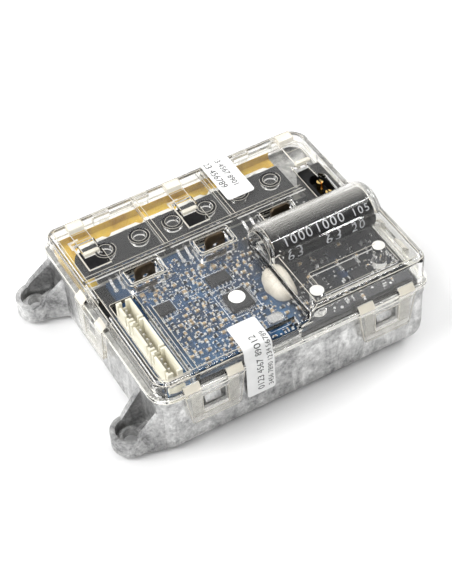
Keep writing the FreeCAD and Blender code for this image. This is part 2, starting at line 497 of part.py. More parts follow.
# notch in the near edge of the roof, open to the side
cutters.append(box(-7.2, 1.9, FY0 + 0.9, -30.2, FLANGE_Z1, LOW_Z + 3))
# small opening above the left snap
cutters.append(box(CX0 - 2, -39.9, -3.6, 4.8, 24.4, LOW_Z + 3))

# snap frames: two tapered legs and a foot bar outside the tray wall
G = 0.35


def frame_near(xc, side):
    wall, face = (-BY0, -CY0) if side < 0 else (BY1, CY1)
    far = side * (wall + G + 1.35)
    y0, y1 = sorted((side * (wall + G), far))
    f = prism_xz([(xc - 9.1, FLANGE_Z1 - 0.4), (xc + 9.1, FLANGE_Z1 - 0.4), (xc + 7.4, 11.2), (xc + 6.8, 10.8), (xc - 6.8, 10.8), (xc - 7.4, 11.2)], y0, y1)
    f = f.cut(box(xc - 4.0, xc + 4.0, y0 - 1, y1 + 1, 13.4, FLANGE_Z0 - 0.8))
    for s in (-1, 1):
        add.append(prism_yz([(side * (face - 0.3), 25.2), (side * (face + 0.35), 25.2), (far, FLANGE_Z1 + 0.5), (far, FLANGE_Z1 - 0.4), (side * (face - 0.3), FLANGE_Z1 - 0.4)],
                            xc + s * 6.55 - 2.5, xc + s * 6.55 + 2.5))
    return f


def frame_side(yc, side, half, foot):
    wall, face = (-BX0, -CX0) if side < 0 else (BX1, CX1)
    far = side * (wall + G + 1.35)
    x0, x1 = sorted((side * (wall + G), far))
    f = prism_yz([(yc - half, FLANGE_Z1 - 0.4), (yc + half, FLANGE_Z1 - 0.4), (yc + half - 1.7, foot + 0.4), (yc + half - 2.3, foot), (yc - half + 2.3, foot), (yc - half + 1.7, foot + 0.4)], x0, x1)
    f = f.cut(box(x0 - 1, x1 + 1, yc - 3.6, yc + 3.6, foot + 2.4, FLANGE_Z0 - 0.8))
    for s in (-1, 1):
        add.append(prism_xz([(side * (face - 0.3), 25.2), (side * (face + 0.35), 25.2), (far, FLANGE_Z1 + 0.5), (far, FLANGE_Z1 - 0.4), (side * (face - 0.3), FLANGE_Z1 - 0.4)],
                            yc + s * (half - 2.5) - 2.2, yc + s * (half - 2.5) + 2.2))
    return f


for x in NEAR_SNAPS:
    add.append(frame_near(x, -1))
for x in FAR_SNAPS:
    add.append(frame_near(x, 1))
for y in LEFT_SNAPS:
    add.append(frame_side(y, -1, 8.6, 10.6))
for y in RIGHT_SNAPS:
    add.append(frame_side(y, 1, 8.6, 10.6))

cover = fuse([cover] + add)
for c in cutters:
    cover = cover.cut(c)
# fingers added after the openings are cut
fing = []
for x in HOOKS:
    fing.append(box(x - 2.45, x + 2.45, 21.6, 33.6, LOW_Z - 0.7, LOW_Z + 0.6))
    fing.append(box(x - 2.45, x + 2.45, 30.4, 33.6, LOW_Z - 0.7, LOW_Z + 1.9))
    fing.append(prism_yz([(21.6, LOW_Z + 0.6), (21.6, LOW_Z - 0.7), (21.2, LOW_Z - 1.0), (20.6, LOW_Z - 0.8), (20.6, LOW_Z + 0.3), (20.9, LOW_Z + 0.6)], x - 2.45, x + 2.45))
cover = fuse([cover] + fing)
cover_solids = sorted(solids(cover), key=lambda s: -s.Volume)
put("clear_cover", cover_solids[0])

# ----------------------------------------------------------------- seals
LT = 0.12


def seal(x0, x1, y_in, side, foot):
    """Sticker folded over the top edge of the cover and down over the flange."""
    face, flange_face = (-CY0, -FY0) if side < 0 else (CY1, FY1)

    def path(d):
        pts = [(y_in, LOW_Z + d)]
        for k in range(7):
            a = math.radians(90 - 15 * k)
            pts.append((face - 1.8 + (1.8 + d) * math.cos(a), LOW_Z - 1.8 + (1.8 + d) * math.sin(a)))
        return pts + [(face + d, 24.2), (flange_face + d, FLANGE_Z1), (flange_face + d, foot)]
    pts = path(0.04) + path(0.04 + LT)[::-1]
    return prism_yz([(side * y, z) for y, z in pts], x0, x1)


near_seal = seal(-16.2, -7.4, 24.4, -1, 9.6)
far_seal = seal(9.0, 18.0, 18.6, 1, 9.6)
put("seal_label_near", near_seal)
put("seal_label_far", far_seal)

for name, shape in NODES.items():
    bad = [s for s in shape.Solids if not s.isValid() or s.Volume <= 0]
    bb = shape.BoundBox
    print("%-28s solids %3d vol %9.1f  bad %d  box %.1f %.1f %.1f / %.1f %.1f %.1f" % (name, len(shape.Solids), shape.Volume, len(bad), bb.XMin, bb.YMin, bb.ZMin, bb.XMax, bb.YMax, bb.ZMax))
    shape.exportStep("parts/%s.step" % name)
print(len(NODES), "nodes")
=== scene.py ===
import math
import random

import bmesh
import bpy
from mathutils import Matrix, Vector


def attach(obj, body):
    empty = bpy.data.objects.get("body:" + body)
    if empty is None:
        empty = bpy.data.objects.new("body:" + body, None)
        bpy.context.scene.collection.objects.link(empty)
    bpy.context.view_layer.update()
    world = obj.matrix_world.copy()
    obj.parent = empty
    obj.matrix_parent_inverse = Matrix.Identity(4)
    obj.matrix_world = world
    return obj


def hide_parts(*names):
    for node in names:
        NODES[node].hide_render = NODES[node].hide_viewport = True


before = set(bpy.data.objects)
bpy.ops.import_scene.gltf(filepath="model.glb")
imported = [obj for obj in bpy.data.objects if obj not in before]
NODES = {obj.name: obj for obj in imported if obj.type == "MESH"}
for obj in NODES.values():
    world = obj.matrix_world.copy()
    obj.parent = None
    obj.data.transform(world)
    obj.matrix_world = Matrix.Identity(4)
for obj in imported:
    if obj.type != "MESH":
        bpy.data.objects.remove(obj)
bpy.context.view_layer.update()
MM = 0.001
BASE, COVER = "controller", "cover"


# ------------------------------------------------------------------ camera
def add_camera():
    az, el, roll = math.radians(-26.29), math.radians(46.87), math.radians(-4.33)
    target = Vector((-3.96, -1.44, 15.0)) * MM
    back = Vector((math.sin(az) * math.cos(el), -math.cos(az) * math.cos(el), math.sin(el)))
    right0 = Vector((math.cos(az), math.sin(az), 0))
    up0 = back.cross(right0)
    right = right0 * math.cos(roll) + up0 * math.sin(roll)
    up = -right0 * math.sin(roll) + up0 * math.cos(roll)
    data = bpy.data.cameras.new("camera")
    data.sensor_fit = "VERTICAL"
    data.sensor_height = 36.0
    data.lens = 105.7
    data.clip_start = 0.01
    data.clip_end = 20
    ob = bpy.data.objects.new("camera", data)
    bpy.context.scene.collection.objects.link(ob)
    m = Matrix((right, up, back)).transposed().to_4x4()
    m.translation = target + back * 0.49095
    ob.matrix_world = m
    bpy.context.scene.camera = ob


add_camera()
bpy.context.scene.view_settings.view_transform = "Standard"


# ------------------------------------------------------------------ node helpers
def srgb(r, g, b):
    out = []
    for c in (r, g, b):
        c /= 255.0
        out.append(c / 12.92 if c <= 0.04045 else ((c + 0.055) / 1.055) ** 2.4)
    return (out[0], out[1], out[2], 1.0)


def new_mat(name):
    m = bpy.data.materials.new(name)
    m.use_nodes = True
    nt = m.node_tree
    nt.nodes.clear()
    out = nt.nodes.new("ShaderNodeOutputMaterial")
    bsdf = nt.nodes.new("ShaderNodeBsdfPrincipled")
    nt.links.new(bsdf.outputs[0], out.inputs[0])
    return m, nt, bsdf


def coords(nt, scale=(1, 1, 1)):
    tc = nt.nodes.new("ShaderNodeTexCoord")
    mp = nt.nodes.new("ShaderNodeMapping")
    mp.inputs["Scale"].default_value = scale
    nt.links.new(tc.outputs["Object"], mp.inputs[0])
    return mp.outputs[0]


def noise(nt, vec, scale, detail=4.0, rough=0.55, distortion=0.0):
    n = nt.nodes.new("ShaderNodeTexNoise")
    n.inputs["Scale"].default_value = scale
    n.inputs["Detail"].default_value = detail
    n.inputs["Roughness"].default_value = rough
    n.inputs["Distortion"].default_value = distortion
    nt.links.new(vec, n.inputs["Vector"])
    return n.outputs["Fac"]


def ramp(nt, fac, stops):
    r = nt.nodes.new("ShaderNodeValToRGB")
    el = r.color_ramp.elements
    while len(el) < len(stops):
        el.new(0.5)
    for e, (p, c) in zip(el, stops):
        e.position = p
        e.color = c if len(c) == 4 else (c[0], c[1], c[2], 1)
    nt.links.new(fac, r.inputs[0])
    return r.outputs[0]


def grey(v):
    return (v, v, v, 1)


def rough_from(nt, bsdf, fac, lo, hi):
    m = nt.nodes.new("ShaderNodeMapRange")
    m.inputs["From Min"].default_value = 0.3
    m.inputs["From Max"].default_value = 0.7
    m.inputs["To Min"].default_value = lo
    m.inputs["To Max"].default_value = hi
    nt.links.new(fac, m.inputs[0])
    nt.links.new(m.outputs[0], bsdf.inputs["Roughness"])


def bump(nt, bsdf, fac, strength, dist):
    b = nt.nodes.new("ShaderNodeBump")
    b.inputs["Strength"].default_value = strength
    b.inputs["Distance"].default_value = dist
    nt.links.new(fac, b.inputs["Height"])
    nt.links.new(b.outputs[0], bsdf.inputs["Normal"])


def mix_fac(nt, a, b, w=0.5):
    m = nt.nodes.new("ShaderNodeMath")
    m.operation = "MULTIPLY_ADD"
    m.inputs[1].default_value = w
    nt.links.new(a, m.inputs[0])
    s = nt.nodes.new("ShaderNodeMath")
    s.operation = "MULTIPLY"
    s.inputs[1].default_value = 1 - w
    nt.links.new(b, s.inputs[0])
    nt.links.new(s.outputs[0], m.inputs[2])
    return m.outputs[0]


# ------------------------------------------------------------------ materials
def plastic(name, col, col2=None, rough=0.45, spec=0.5, scale=900, bump_s=0.15, bump_d=0.00004, coat=0.0, lo=None, hi=None):
    """Moulded plastic or paint: slight cloudiness in colour and gloss, fine grain."""
    m, nt, b = new_mat(name)
    v = coords(nt)
    big = noise(nt, v, 160, 3)
    fine = noise(nt, v, scale, 3)
    c2 = col2 or tuple(min(1, c * 0.86) for c in col[:3]) + (1,)
    nt.links.new(ramp(nt, big, [(0.3, c2), (0.7, col)]), b.inputs["Base Color"])
    rough_from(nt, b, fine, lo if lo is not None else rough * 0.85, hi if hi is not None else rough * 1.15)
    b.inputs["Specular IOR Level"].default_value = spec
    b.inputs["Coat Weight"].default_value = coat
    if bump_s:
        bump(nt, b, fine, bump_s, bump_d)
    return m


def metal(name, col, col2=None, rough=0.3, scale=700, bump_s=0.2, bump_d=0.00003, aniso=(1, 1, 1)):
    m, nt, b = new_mat(name)
    v = coords(nt, aniso)
    big = noise(nt, v, 220, 4)
    fine = noise(nt, v, scale, 4)
    c2 = col2 or tuple(c * 0.8 for c in col[:3]) + (1,)
    nt.links.new(ramp(nt, big, [(0.3, c2), (0.7, col)]), b.inputs["Base Color"])
    b.inputs["Metallic"].default_value = 1.0
    rough_from(nt, b, fine, rough * 0.75, rough * 1.3)
    if bump_s:
        bump(nt, b, fine, bump_s, bump_d)
    return m


def cast_aluminium():
    m, nt, b = new_mat("cast_aluminium")
    v = coords(nt)
    flow = noise(nt, coords(nt, (1.0, 1.0, 0.5)), 150, 7, 0.66, 1.4)
    cloud = noise(nt, v, 48, 4, 0.6, 0.4)
    grain = noise(nt, v, 900, 4, 0.7)
    fine = noise(nt, v, 2200, 3, 0.6)
    mixed = mix_fac(nt, mix_fac(nt, flow, cloud, 0.6), grain, 0.72)
    nt.links.new(ramp(nt, mixed, [(0.39, (0.17, 0.17, 0.172)), (0.46, (0.36, 0.36, 0.36)), (0.53, (0.56, 0.56, 0.555)), (0.60, (0.80, 0.80, 0.79))]), b.inputs["Base Color"])
    b.inputs["Metallic"].default_value = 0.85
    rough_from(nt, b, mixed, 0.46, 0.26)
    bump(nt, b, mix_fac(nt, fine, flow, 0.45), 0.45, 0.00025)
    return m


def clear_pc():
    m, nt, b = new_mat("clear_polycarbonate")
    v = coords(nt)
    haze = noise(nt, v, 90, 3)
    b.inputs["Base Color"].default_value = (0.965, 0.962, 0.945, 1)
    b.inputs["Transmission Weight"].default_value = 1.0
    b.inputs["IOR"].default_value = 1.50
    rough_from(nt, b, haze, 0.012, 0.045)
    bump(nt, b, noise(nt, v, 55, 2), 0.10, 0.0003)
    return m


def painted_light_layer(name, col, alpha, rough=0.35):
    """Semi-opaque pieces for the clear cover: cream ones read as solid cream and are painted highlights and reflections
    of its edges and thick parts, dark ones are painted shade.
    """
    m, nt, b = new_mat(name)
    v = coords(nt)
    nt.links.new(ramp(nt, noise(nt, v, 260, 3), [(0.3, tuple(c * 0.93 for c in col[:3])), (0.7, col)]), b.inputs["Base Color"])
    rough_from(nt, b, noise(nt, v, 700, 2), rough * 0.8, rough * 1.2)
    b.inputs["Alpha"].default_value = alpha
    return m


MAT = {
    "cast_alu": cast_aluminium(),
    "clear": clear_pc(),
    # painted light in the clear cover: the cream entries are painted highlights and reflections, the near-black tube
    # entry is painted shade
    "edge": painted_light_layer("cover_edge", srgb(226, 221, 209), 0.72),
    "edge_bright": painted_light_layer("cover_edge_bright", srgb(242, 240, 233), 0.85),
    "painted_light_layer": painted_light_layer("cover_thick_part_reflection", srgb(236, 231, 219), 0.58),
    "haze": painted_light_layer("cover_frame_painted_reflection", srgb(232, 228, 217), 0.20),
    "ring_painted_shade": painted_light_layer("tube_painted_shade", srgb(20, 20, 23), 0.88, 0.25),
    "epoxy": plastic("black_epoxy", srgb(32, 32, 34), srgb(24, 24, 26), rough=0.5, spec=0.25, scale=2200, bump_s=0.08),
    "foam": plastic("black_sheet", srgb(24, 24, 26), srgb(18, 18, 20), rough=0.65, spec=0.18, scale=900, bump_s=0.06),
    "potting": plastic("black_resin", srgb(12, 12, 13), srgb(8, 8, 9), rough=0.45, spec=0.2, scale=300, bump_s=0.2, bump_d=0.0001),
    "tinned": plastic("tin_plate", srgb(226, 225, 222), srgb(196, 195, 192), rough=0.5, spec=0.4),
    "solder": metal("solder", (0.90, 0.90, 0.91, 1), rough=0.25, scale=900, bump_s=0.4, bump_d=0.0001),
    "thermal": plastic("thermal_pad_grey", srgb(200, 198, 192), rough=0.7, spec=0.2),
    "amber": plastic("polyimide_film", srgb(206, 176, 66), srgb(158, 122, 40), rough=0.4, spec=0.25, scale=260, bump_s=0.5, bump_d=0.00025, coat=0.2),
    "bronze": metal("bronze_tab", srgb(112, 98, 80), srgb(70, 60, 48), rough=0.38),
    "can": metal("drawn_aluminium", (0.80, 0.80, 0.81, 1), rough=0.22, aniso=(8, 1, 1)),
    "bung": plastic("rubber_bung", srgb(24, 24, 25), rough=0.7, spec=0.2),
    "silicone": plastic("white_silicone", srgb(190, 184, 173), srgb(160, 154, 143), rough=0.42, scale=180, bump_s=0.2, bump_d=0.0002, coat=0.2),
    "bat": plastic("battery_housing", srgb(14, 14, 15), srgb(9, 9, 10), rough=0.4, spec=0.2),
    "gold": metal("gold_plate", (0.90, 0.66, 0.27, 1), (0.80, 0.55, 0.2, 1), rough=0.16),
    "ivory": plastic("ivory_nylon", srgb(236, 233, 216), srgb(222, 217, 198), rough=0.42, spec=0.35, scale=1500, bump_s=0.12),
    "mlcc": plastic("ceramic_tan", srgb(168, 150, 122), srgb(136, 116, 90), rough=0.4),
    "resist": plastic("resistor_black", srgb(26, 26, 28), srgb(18, 18, 20), rough=0.35, spec=0.3),
    "chip_end": metal("chip_termination", (0.92, 0.92, 0.92, 1), rough=0.28),
    "silk": plastic("silk_white", srgb(226, 230, 234), rough=0.5, bump_s=0.0),
    "trace": plastic("trace_blue", srgb(62, 96, 138), srgb(44, 74, 112), rough=0.3, bump_s=0.0),
    "sticker": plastic("sticker_white", srgb(240, 240, 238), srgb(228, 228, 226), rough=0.4, bump_s=0.1),
    "seal": plastic("seal_paper", srgb(240, 240, 239), srgb(230, 230, 229), rough=0.4, spec=0.3, scale=700, bump_s=0.08, coat=0.1),
    "print_grey": plastic("print_grey", srgb(178, 180, 184), srgb(150, 152, 156), rough=0.5, bump_s=0.0),
    "print_black": plastic("print_black", srgb(30, 30, 32), srgb(24, 24, 26), rough=0.5, bump_s=0.0),
}


def pcb_material():
    """Blue solder mask, with painted shade turning it nearly black under the raised part of the cover."""
    m, nt, b = new_mat("blue_solder_mask")
    v = coords(nt)
    big = noise(nt, v, 70, 5, 0.6)
    blue = ramp(nt, big, [(0.35, srgb(12, 32, 54)), (0.5, srgb(22, 50, 78)), (0.66, srgb(40, 76, 108))])
    # painted shade: this near-black ramp stands in for the shade under the raised roof and is blended in by x between 3
    # and 7.5 mm
    dark = ramp(nt, big, [(0.46, srgb(13, 14, 18)), (0.60, srgb(16, 20, 28)), (0.72, srgb(28, 46, 74))])
    sep = nt.nodes.new("ShaderNodeSeparateXYZ")
    nt.links.new(v, sep.inputs[0])
    mr = nt.nodes.new("ShaderNodeMapRange")
    mr.inputs["From Min"].default_value = 0.0030
    mr.inputs["From Max"].default_value = 0.0075
    nt.links.new(sep.outputs["X"], mr.inputs[0])
    painted_shade_mix = nt.nodes.new("ShaderNodeMix")
    painted_shade_mix.data_type = "RGBA"
    nt.links.new(mr.outputs[0], painted_shade_mix.inputs[0])
    nt.links.new(blue, painted_shade_mix.inputs[6])
    nt.links.new(dark, painted_shade_mix.inputs[7])
    nt.links.new(painted_shade_mix.outputs[2], b.inputs["Base Color"])
    rough_from(nt, b, noise(nt, v, 900, 3), 0.30, 0.45)
    b.inputs["Specular IOR Level"].default_value = 0.3
    bump(nt, b, noise(nt, v, 420, 4, 0.6), 0.25, 0.00006)
    return m


MAT["board"] = pcb_material()


def sleeve_material():
    m, nt, b = new_mat("black_shrink_sleeve")
    v = coords(nt)
    nt.links.new(ramp(nt, noise(nt, v, 180, 3), [(0.3, srgb(12, 12, 14)), (0.7, srgb(20, 20, 22))]), b.inputs["Base Color"])
    rough_from(nt, b, noise(nt, coords(nt, (0.3, 1, 1)), 400, 3), 0.09, 0.16)
    bump(nt, b, noise(nt, coords(nt, (0.25, 1, 1)), 220, 2), 0.12, 0.0001)
    return m


MAT["sleeve"] = sleeve_material()

NODE_MAT = {
    "heatsink_base": "cast_alu", "circuit_board": "board", "potting_compound": "potting", "transistor_bodies": "epoxy",
    "transistor_tabs": "tinned", "transistor_legs": "solder", "thermal_pad": "thermal", "pressure_pad": "foam", "polyimide_tape": "amber",
    "phase_tab_u": "bronze", "phase_tab_v": "bronze", "phase_tab_w": "bronze", "capacitor_can": "can", "capacitor_sleeve": "sleeve",
    "capacitor_bung": "bung", "capacitor_leads": "tinned", "silicone_bead": "silicone", "battery_connector_housing": "bat",
    "battery_connector_pins": "gold", "signal_header_3way": "ivory", "signal_header_5way": "ivory", "signal_header_4way": "ivory",
    "signal_header_pins": "tinned", "microcontroller": "epoxy", "microcontroller_leads": "solder", "round_sticker": "sticker",
    "driver_ic_bodies": "epoxy", "driver_ic_leads": "solder", "crystal": "can", "shunt_resistors": "resist", "chip_resistors": "resist",
    "chip_capacitors": "mlcc", "clear_cover": "clear", "seal_label_near": "seal", "seal_label_far": "seal",
}
for n, ob in NODES.items():
    ob.data.materials.clear()
    ob.data.materials.append(MAT[NODE_MAT[n]])


# ------------------------------------------------------------------ mesh helpers
def link(name, mesh, mat, body):
    ob = bpy.data.objects.new(name, mesh)
    bpy.context.scene.collection.objects.link(ob)
    mesh.materials.clear()
    mesh.materials.append(MAT[mat])
    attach(ob, body)
    return ob


def apply_modifiers(ob):
    dg = bpy.context.evaluated_depsgraph_get()
    dg.update()
    me = bpy.data.meshes.new_from_object(ob.evaluated_get(dg))
    ob.modifiers.clear()
    ob.data = me


def smooth(me, angle=35):
    me.polygons.foreach_set("use_smooth", [True] * len(me.polygons))
    lim = math.radians(angle)
    bm = bmesh.new()
    bm.from_mesh(me)
    for e in bm.edges:
        e.smooth = not (len(e.link_faces) == 2 and e.calc_face_angle(0) > lim)
    bm.to_mesh(me)
    bm.free()


def node_copy(node, body, bevel=0.2, segments=2, angle=30):
    """Clean copy of a CAD node with rounded edges (bevel in mm), standing for that node."""
    src = NODES[node]
    me = src.data.copy()
    me.name = node + "_finished"
    bm = bmesh.new()
    bm.from_mesh(me)
    bmesh.ops.remove_doubles(bm, verts=bm.verts, dist=2e-6)
    bmesh.ops.dissolve_limit(bm, angle_limit=math.radians(0.6), verts=bm.verts, edges=bm.edges)
    bm.to_mesh(me)
    bm.free()
    ob = link(node + "_finished", me, NODE_MAT[node], body)
    ob.matrix_world = src.matrix_world.copy()
    md = ob.modifiers.new("bevel", "BEVEL")
    md.width = bevel * MM
    md.segments = segments
    md.limit_method = "ANGLE"
    md.angle_limit = math.radians(angle)
    md.use_clamp_overlap = True
    apply_modifiers(ob)
    smooth(ob.data, 34)
    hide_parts(node)
    return ob


def boxes(name, items, mat, body, bevel=0.0):
    """Many boxes (x0, x1, y0, y1, z0, z1[, turn]) in mm as one mesh, with bevelled edges."""
    bm = bmesh.new()
    for it in items:
        x0, x1, y0, y1, z0, z1 = it[:6]
        a = math.radians(it[6]) if len(it) > 6 else 0.0
        cx, cy = (x0 + x1) / 2, (y0 + y1) / 2
        vs = []
        for z in (z0, z1):
            for x, y in ((x0, y0), (x1, y0), (x1, y1), (x0, y1)):
                dx, dy = x - cx, y - cy
                vs.append(bm.verts.new(((cx + dx * math.cos(a) - dy * math.sin(a)) * MM, (cy + dx * math.sin(a) + dy * math.cos(a)) * MM, z * MM)))
        for f in ((3, 2, 1, 0), (4, 5, 6, 7), (0, 1, 5, 4), (1, 2, 6, 5), (2, 3, 7, 6), (3, 0, 4, 7)):
            bm.faces.new([vs[k] for k in f])
    if bevel:
        bmesh.ops.bevel(bm, geom=bm.edges[:], offset=bevel * MM, segments=1, affect="EDGES", profile=0.5)
    me = bpy.data.meshes.new(name)
    bm.to_mesh(me)
    bm.free()
    return link(name, me, mat, body)


def discs(name, items, mat, body, n=14):
    """Flat round pieces (x, y, z0, z1, r[, inner r]) in mm as one mesh."""
    bm = bmesh.new()
    for it in items:
        x, y, z0, z1, r = it[:5]
        ri = it[5] if len(it) > 5 else 0.0
        rings = []
        for z, rr in ((z0, r), (z1 - (z1 - z0) * 0.3, r), (z1, r * 0.94 if not ri else r - (r - ri) * 0.15)):
            rings.append([bm.verts.new(((x + rr * math.cos(2 * math.pi * k / n)) * MM, (y + rr * math.sin(2 * math.pi * k / n)) * MM, z * MM)) for k in range(n)])
        if ri:
            for z, rr in ((z1, ri + (r - ri) * 0.15), (z0, ri)):
                rings.append([bm.verts.new(((x + rr * math.cos(2 * math.pi * k / n)) * MM, (y + rr * math.sin(2 * math.pi * k / n)) * MM, z * MM)) for k in range(n)])
        for a, b2 in zip(rings, rings[1:]):
            for k in range(n):
                bm.faces.new((a[k], a[(k + 1) % n], b2[(k + 1) % n], b2[k]))
        if not ri:
            bm.faces.new(rings[-1])
    me = bpy.data.meshes.new(name)
    bm.to_mesh(me)
    bm.free()
    smooth(me, 40)
    return link(name, me, mat, body)


def wires(name, paths, r, mat, body, sides=6):
    """Fine rounded beads along polylines [(points, closed), ...] in mm, as one mesh."""
    bm = bmesh.new()
    for pts, closed in paths:
        P = [Vector(p) for p in pts]
        n = len(P)
        rings = []
        for i in range(n):
            if closed:
                t = (P[(i + 1) % n] - P[i - 1])
            else:
                t = P[min(i + 1, n - 1)] - P[max(i - 1, 0)]
            t.normalize()
            up = Vector((0, 0, 1)) if abs(t.z) < 0.9 else Vector((1, 0, 0))
            s = t.cross(up).normalized()
            u = s.cross(t).normalized()
            rings.append([bm.verts.new((P[i] + (s * math.cos(2 * math.pi * k / sides) + u * math.sin(2 * math.pi * k / sides)) * r) * MM) for k in range(sides)])
        m = n if closed else n - 1
        for i in range(m):
            a, b2 = rings[i], rings[(i + 1) % n]
            for k in range(sides):
                bm.faces.new((a[k], a[(k + 1) % sides], b2[(k + 1) % sides], b2[k]))
        if not closed:
            bm.faces.new(rings[0][::-1])
            bm.faces.new(rings[-1])
    me = bpy.data.meshes.new(name)
    bm.to_mesh(me)
    bm.free()
    smooth(me, 70)
    return link(name, me, mat, body)


def plates(name, polys, thick, mat, body):
    """Thin plates on given corner points (mm), thickened along their normals."""
    bm = bmesh.new()
    for pts in polys:
        P = [Vector(p) for p in pts]
        nrm = (P[1] - P[0]).cross(P[2] - P[0]).normalized() * thick
        lo = [bm.verts.new(p * MM) for p in P]
        hi = [bm.verts.new((p + nrm) * MM) for p in P]
        bm.faces.new(lo[::-1])
        bm.faces.new(hi)
        for k in range(len(P)):
            j = (k + 1) % len(P)
            bm.faces.new((lo[k], lo[j], hi[j], hi[k]))
    bmesh.ops.recalc_face_normals(bm, faces=bm.faces)
    me = bpy.data.meshes.new(name)
    bm.to_mesh(me)
    bm.free()
    return link(name, me, mat, body)


def digits_mesh(text, height, cuts_y=None, cuts_x=None, spacing=1.1):
    """Flat digit shapes in mm, baseline at y = 0, starting at x = 0, cut along the given lines."""
    cu = bpy.data.curves.new("digits_src", "FONT")
    cu.body = text
    cu.size = height * 1.38
    cu.space_character = spacing
    cu.fill_mode = "BOTH"
    cu.resolution_u = 4
    ob = bpy.data.objects.new("digits_src", cu)
    bpy.context.scene.collection.objects.link(ob)
    dg = bpy.context.evaluated_depsgraph_get()
    dg.update()
    me = bpy.data.meshes.new_from_object(ob.evaluated_get(dg))
    bpy.data.objects.remove(ob)
    bpy.data.curves.remove(cu)
    bm = bmesh.new()
    bm.from_mesh(me)
    bpy.data.meshes.remove(me)
    for c in cuts_y or []:
        bmesh.ops.bisect_plane(bm, geom=bm.verts[:] + bm.edges[:] + bm.faces[:], plane_co=(0, c, 0), plane_no=(0, 1, 0))
    for c in cuts_x or []:
        bmesh.ops.bisect_plane(bm, geom=bm.verts[:] + bm.edges[:] + bm.faces[:], plane_co=(c, 0, 0), plane_no=(1, 0, 0))
    return bm


def mapped_digits(name, jobs, mat, body):
    """jobs: [(bmesh, function (x, y) -> point in mm)], joined into one mesh."""
    out = bmesh.new()
    for bm, fn in jobs:
        idx = {}
        for v in bm.verts:
            p = fn(v.co.x, v.co.y)
            idx[v] = out.verts.new((p[0] * MM, p[1] * MM, p[2] * MM))
        for f in bm.faces:
            try:
                out.faces.new([idx[v] for v in f.verts])
            except ValueError:
                pass
        bm.free()
    me = bpy.data.meshes.new(name)
    out.to_mesh(me)
    out.free()
    return link(name, me, mat, body)


def arc(cx, cy, r, a0, a1, z, n=8):
    return [(cx + r * math.cos(math.radians(a0 + (a1 - a0) * k / n)), cy + r * math.sin(math.radians(a0 + (a1 - a0) * k / n)), z) for k in range(n + 1)]


def rrect(x0, x1, y0, y1, z, radii):
    r0, r1, r2, r3 = radii
    return (arc(x0 + r0, y0 + r0, r0, 180, 270, z) + arc(x1 - r1, y0 + r1, r1, 270, 360, z) + arc(x1 - r2, y1 - r2, r2, 0, 90, z) + arc(x0 + r3, y1 - r3, r3, 90, 180, z))


def islands(node):
    """Bounding boxes in mm of the separate pieces of a CAD node."""
    me = NODES[node].data
    bm = bmesh.new()
    bm.from_mesh(me)
    bmesh.ops.remove_doubles(bm, verts=bm.verts, dist=1e-6)
    seen, out = set(), []
    mw = NODES[node].matrix_world
    for v in bm.verts:
        if v in seen:
            continue
        stack, pts = [v], []
        seen.add(v)
        while stack:
            w = stack.pop()
            pts.append((mw @ w.co) / MM)
            for e in w.link_edges:
                o = e.other_vert(w)
                if o not in seen:
                    seen.add(o)
                    stack.append(o)
        out.append((min(p.x for p in pts), max(p.x for p in pts), min(p.y for p in pts), max(p.y for p in pts), min(p.z for p in pts), max(p.z for p in pts)))
    bm.free()
    return out


# ------------------------------------------------------------------ finished copies of CAD nodes
CAST = node_copy("heatsink_base", BASE, 0.22, 3, 26)
for n, s, w in (("transistor_bodies", "epoxy", 0.15), ("transistor_tabs", "tinned", 0.08), ("phase_tab_u", "bronze_tab", 0.1), ("phase_tab_v", "bronze_tab", 0.1),
                ("phase_tab_w", "bronze_tab", 0.1), ("battery_connector_housing", "housing_black", 0.15), ("battery_connector_pins", "gold", 0.18),
                ("signal_header_3way", "ivory", 0.12), ("signal_header_5way", "ivory", 0.12), ("signal_header_4way", "ivory", 0.12),
                ("microcontroller", "epoxy", 0.08), ("driver_ic_bodies", "epoxy", 0.08), ("crystal", "tinned", 0.25), ("shunt_resistors", "epoxy", 0.1),
                ("chip_resistors", "epoxy", 0.05), ("chip_capacitors", "mlcc", 0.07), ("pressure_pad", "foam_black", 0.08)):
    node_copy(n, BASE, w, 2)

# ------------------------------------------------------------------ clear cover
LOW_Z, HIGH_Z = 28.2, 32.4
CX0, CX1, CY0, CY1 = -42.0, 43.1, -34.0, 36.6
cover = NODES["clear_cover"]
smooth(cover.data, 30)
cover.visible_shadow = False

# painted highlights: thin cream beads along the cover's ribs, windows and walls stand in for light caught at the edges
# of the clear plastic
T = LOW_Z + 0.02
edge = []
# long rib and cross ribs seen edge-on
for y in (11.95, 13.2):
    edge.append(([(-41.2, y, T), (30.0, y, T)], False))
for x in (-14.3, 7.6):
    for d in (-0.6, 0.6):
        edge.append(([(x + d, 13.3, T), (x + d, 34.6, T)], False))
# fence beside the headers
for x in (-30.5, -29.3):
    edge.append(([(x, -32.6, T), (x, -5.6, T)], False))
# header slot, phase windows and hook openings
edge.append((rrect(-39.3, -31.5, -32.7, 0.3, T, (1.2, 0.6, 0.6, 0.6)), True))
for x in (-25.0, -2.6):
    edge.append((rrect(x - 5.3, x + 5.1, 3.8, 9.6, T, (0.7, 0.7, 0.7, 0.7)), True))
    edge.append((rrect(x - 6.2, x + 6.0, 3.3, 10.4, T, (1.0, 1.0, 1.0, 1.0)), True))
edge.append(([(13.7, 3.9, T), (13.7, 9.0, T), (14.3, 9.6, T), (23.6, 9.6, T), (24.1, 9.0, T), (24.1, 3.9, T)], False))
for x in (-34.2, -2.4):
    edge.append(([(x - 3.55, 26.4, T), (x - 3.55, 15.1, T), (x + 3.25, 15.1, T), (x + 3.25, 21.0, T)], False))
edge.append(([(31.5, 4.2, T), (31.5, 21.7, T), (33.4, 20.7, T)], False))
wires("cover_edge_highlight_lines", edge, 0.10, "edge", COVER)

# walls: painted highlight lines along the top shoulder, the foot and the flange
per = []
per.append((rrect(CX0 + 1.7, CX1 - 1.7, CY0 + 1.7, CY1 - 1.7, T, (3.6, 1.8, 4.6, 1.4)), True))
per.append((rrect(CX0 + 0.3, CX1 - 0.3, CY0 + 0.3, CY1 - 0.3, 27.3, (4.7, 2.9, 5.7, 2.3)), True))
